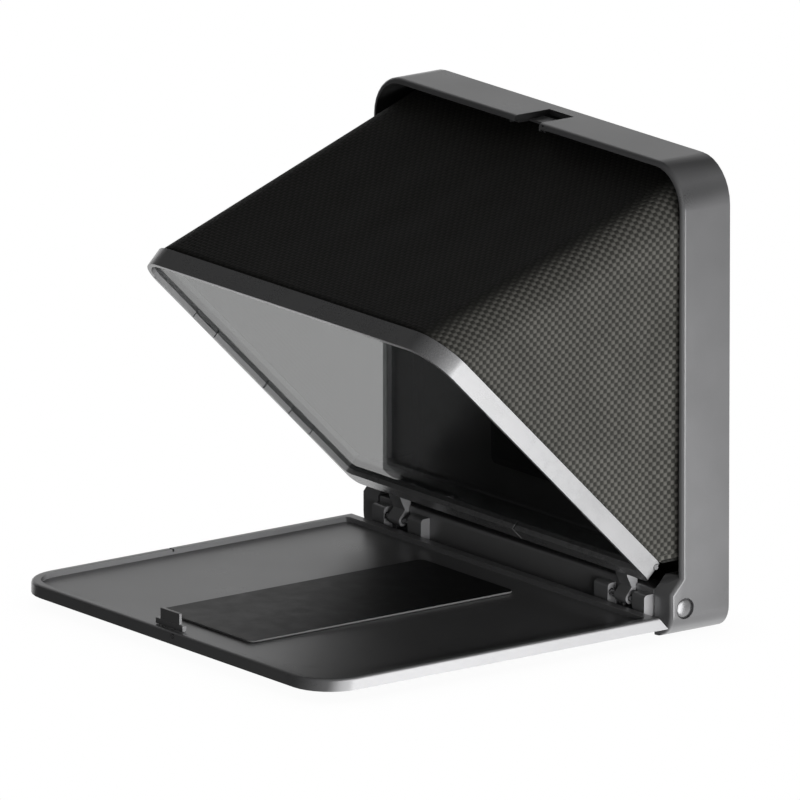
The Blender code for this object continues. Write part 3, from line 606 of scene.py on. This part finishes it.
def build_ring_thread(material):
    """The helical filter thread on the ring's spigot, fading out at both ends."""
    count = round((THREAD_SPAN[1] - THREAD_SPAN[0]) / THREAD_PITCH * THREAD_STEPS)
    root, flank = THREAD_RADIUS - SUNK, THREAD_PITCH * 0.42
    shape = bmesh.new()
    rings = []
    for index in range(count + 1):
        turn = 2 * math.pi * index / THREAD_STEPS
        y = THREAD_SPAN[0] + THREAD_PITCH * index / THREAD_STEPS
        share = min(1, index / THREAD_FADE, (count - index) / THREAD_FADE)
        crest = THREAD_RADIUS + THREAD_HEIGHT * share + 0.02 * MM
        section = ((root, y - flank), (crest, y - flank / 5), (crest, y + flank / 5), (root, y + flank))
        rings.append([shape.verts.new(around_lens(radius, turn, along)) for radius, along in section])
    for first, second in zip(rings, rings[1:]):
        for side in range(4):
            nearby = (side + 1) % 4
            shape.faces.new((first[side], first[nearby], second[nearby], second[side]))
    shape.faces.new(rings[0])
    shape.faces.new(rings[-1][::-1])
    new_object("ring_thread", finish_shape("ring_thread", shape), "lens_ring", material)


def build_ring_grip(material):
    """Straight knurling round the ring's rim."""
    shape = bmesh.new()
    half = math.pi / GRIP_RIBS * 0.55
    root, crest = GRIP_RADIUS - SUNK, GRIP_RADIUS + GRIP_HEIGHT
    section = ((root, -half), (crest, -half / 3), (crest, half / 3), (root, half))
    for rib in range(GRIP_RIBS):
        turn = 2 * math.pi * rib / GRIP_RIBS
        corners = []
        for y in GRIP_SPAN:
            for radius, offset in section:
                corners.append(shape.verts.new(around_lens(radius, turn + offset, y)))
        for side in range(4):
            nearby = (side + 1) % 4
            shape.faces.new((corners[side], corners[nearby], corners[4 + nearby], corners[4 + side]))
        shape.faces.new(corners[:4])
        shape.faces.new(corners[4:][::-1])
    new_object("ring_grip", finish_shape("ring_grip", shape), "lens_ring", material)


# ---------------------------------------------------------------- stage


def direction_light(tree, direction):
    """How bright the studio is in a direction: ground and low walls behind the object, dark elsewhere."""
    parts = node(tree, "SeparateXYZ", direction)
    behind = remap(tree, parts.outputs[1], -0.3, 0.25, smooth=True)
    height = calc(tree, "ADD", parts.outputs[2], calc(tree, "MULTIPLY", parts.outputs[0], WALL_SLOPE))
    ground = remap(tree, height, 0.05, -0.25, WALL_LIGHT, GROUND_LIGHT, smooth=True)
    low = remap(tree, height, 0.6, 0.25, smooth=True)
    lit = calc(tree, "MULTIPLY", calc(tree, "MULTIPLY", behind, low), ground)
    return calc(tree, "ADD", lit, DIM_LIGHT)


def build_world():
    world = bpy.data.worlds.new("studio")
    bpy.context.scene.world = world
    world.use_nodes = True
    tree = world.node_tree
    tree.nodes.clear()
    direction = node(tree, "TexCoord").outputs["Generated"]
    strength = direction_light(tree, direction)
    lit = node(tree, "Background", grey(1.0), strength)
    white = node(tree, "Background", grey(1.0), 1.0)
    seen = node(tree, "LightPath").outputs["Is Camera Ray"]
    mixed = node(tree, "MixShader", seen, lit.outputs[0], white.outputs[0])
    node(tree, "OutputWorld", mixed.outputs[0])


def build_floor():
    """A plain white floor that lights nothing, with a faint painted shadow close to the object.

    It is clear from below, to show the underside."""
    mesh = bpy.data.meshes.new("floor")
    shape = bmesh.new()
    bmesh.ops.create_grid(shape, x_segments=1, y_segments=1, size=FLOOR_SIZE)
    shape.to_mesh(mesh)
    shape.free()
    floor = bpy.data.objects.new("floor", mesh)
    bpy.context.scene.collection.objects.link(floor)
    floor.location = (0, 0, -FLOOR_DROP)
    material = bpy.data.materials.new("floor")
    material.use_nodes = True
    tree = material.node_tree
    tree.nodes.clear()
    # painted contact shadow: the floor's glow dims where the object is near
    near = node(tree, "AmbientOcclusion", grey(1.0), CONTACT_REACH, samples=8).outputs["AO"]
    glow = node(tree, "Emission", grey(1.0), remap(tree, near, 0.0, 1.0, CONTACT_SHADE, 1.0))
    clear = node(tree, "BsdfTransparent", grey(1.0))
    below = tree.nodes.new("ShaderNodeNewGeometry").outputs["Backfacing"]
    mixed = node(tree, "MixShader", below, glow.outputs[0], clear.outputs[0])
    node(tree, "OutputMaterial", mixed.outputs[0])
    mesh.materials.append(material)
    floor.visible_diffuse = False
    floor.visible_glossy = False
    floor.visible_shadow = False


def aim(obj, target):
    obj.rotation_mode = "QUATERNION"
    obj.rotation_quaternion = (target - obj.location).to_track_quat("-Z", "Y")


def build_light(name, place, target, size, power):
    data = bpy.data.lights.new(name, "AREA")
    data.shape = "RECTANGLE"
    data.size, data.size_y = size
    data.energy = power
    light = bpy.data.objects.new(name, data)
    bpy.context.scene.collection.objects.link(light)
    light.location = place
    aim(light, Vector(target))
    light.visible_camera = False
    return light


def build_camera():
    data = bpy.data.cameras.new("camera")
    data.lens = CAMERA_LENS
    data.clip_end = 100
    camera = bpy.data.objects.new("camera", data)
    bpy.context.scene.collection.objects.link(camera)
    turn, rise = math.radians(CAMERA_AZIMUTH), math.radians(CAMERA_ELEVATION)
    back = Vector((math.sin(turn) * math.cos(rise), -math.cos(turn) * math.cos(rise), math.sin(rise)))
    distance = CAMERA_WIDTH * data.lens / data.sensor_width
    camera.location = CAMERA_TARGET + back * distance
    aim(camera, CAMERA_TARGET)
    bpy.context.scene.camera = camera


# ---------------------------------------------------------------- assembly

# its sideways faces are painted darker: painted shade
CASE_METAL = metal("grey_anodised", (0.27, 0.27, 0.275), 0.3, ends=(0.72, 0.6), edge_gain=0.0)
# its sideways faces are painted lighter and barely metallic: painted light
GREY_METAL = metal("grey_anodised_painted_side_light", (0.27, 0.27, 0.275), 0.3, ends=(1.75, 0.1))
# its sideways faces are painted lighter, the inner ones most: painted light
BRIGHT_METAL = metal("bright_aluminium", (0.33, 0.33, 0.335), 0.28, ends=(1.2, 0.4), inside=(1.9, 0.1),
                     edge_gain=0.1)
STEEL = metal("pin_steel", (0.26, 0.26, 0.265), 0.25, metallic=0.8, ends=(1.0, 0.8), edge_gain=0.2)
BLACK = moulding("black_moulding", (0.012, 0.012, 0.013), 0.42)
RUBBER = rubber("mat_rubber")
GLASS = half_mirror("half_mirror", share=0.24, tint=(0.6, 0.615, 0.61))
CLOTH = weave("hood_fabric", light=(0.142, 0.139, 0.126), dark=(0.042, 0.0415, 0.037), sheen=0.03)
LINING = plain_cloth("hood_lining", (0.006, 0.006, 0.006))
BINDING = plain_cloth("hem_binding", (0.02, 0.02, 0.019))
YARN = plain_cloth("sewing_thread", (0.05, 0.05, 0.047))

FINISHES = (
    (CASE_METAL, ("housing_shell", "adapter_ring", "catch_block")),
    (GREY_METAL, ("lid_tray", "hinge_bar", "latch_clip", "hinge_arm_left", "hinge_arm_right")),
    (BRIGHT_METAL, ("glass_frame", "rail_clip_left_1", "rail_clip_left_2", "rail_clip_right_1",
                    "rail_clip_right_2")),
    (STEEL, ("hinge_pin_left", "hinge_pin_right", "arm_pin_left", "arm_pin_right", "frame_pin_left",
             "frame_pin_right", "catch_ball", "latch_pin", *[f"bar_screw_{i}" for i in (1, 2, 3)],
             *[f"collar_screw_{i}" for i in (1, 2, 3, 4)])),
    (BLACK, ("back_plate", "hood_clamp_rear", "lens_collar")),
    (RUBBER, ("phone_mat",)),
    (GLASS, ("beam_splitter_glass",)),
)
for material, names in FINISHES:
    finish_nodes(names, material)

sheet = Hood().build(CLOTH, LINING)
build_hems(sheet, BINDING, YARN)
build_ring_thread(CASE_METAL)
build_ring_grip(CASE_METAL)

build_world()
build_floor()
build_light("rear_softbox", place=(0.65, 0.15, -0.11), target=(0.12, 0.15, -0.11), size=(0.28, 0.36),
            power=1.3)
side_light = build_light("side_softbox", place=(0.75, -0.12, 0.06), target=(0, -0.12, 0.06),
                         size=(0.7, 0.2), power=4.2)
side_light.visible_glossy = False  # it lights matt surfaces, and adds no highlights
build_camera()
bpy.context.scene.view_settings.view_transform = "Standard"
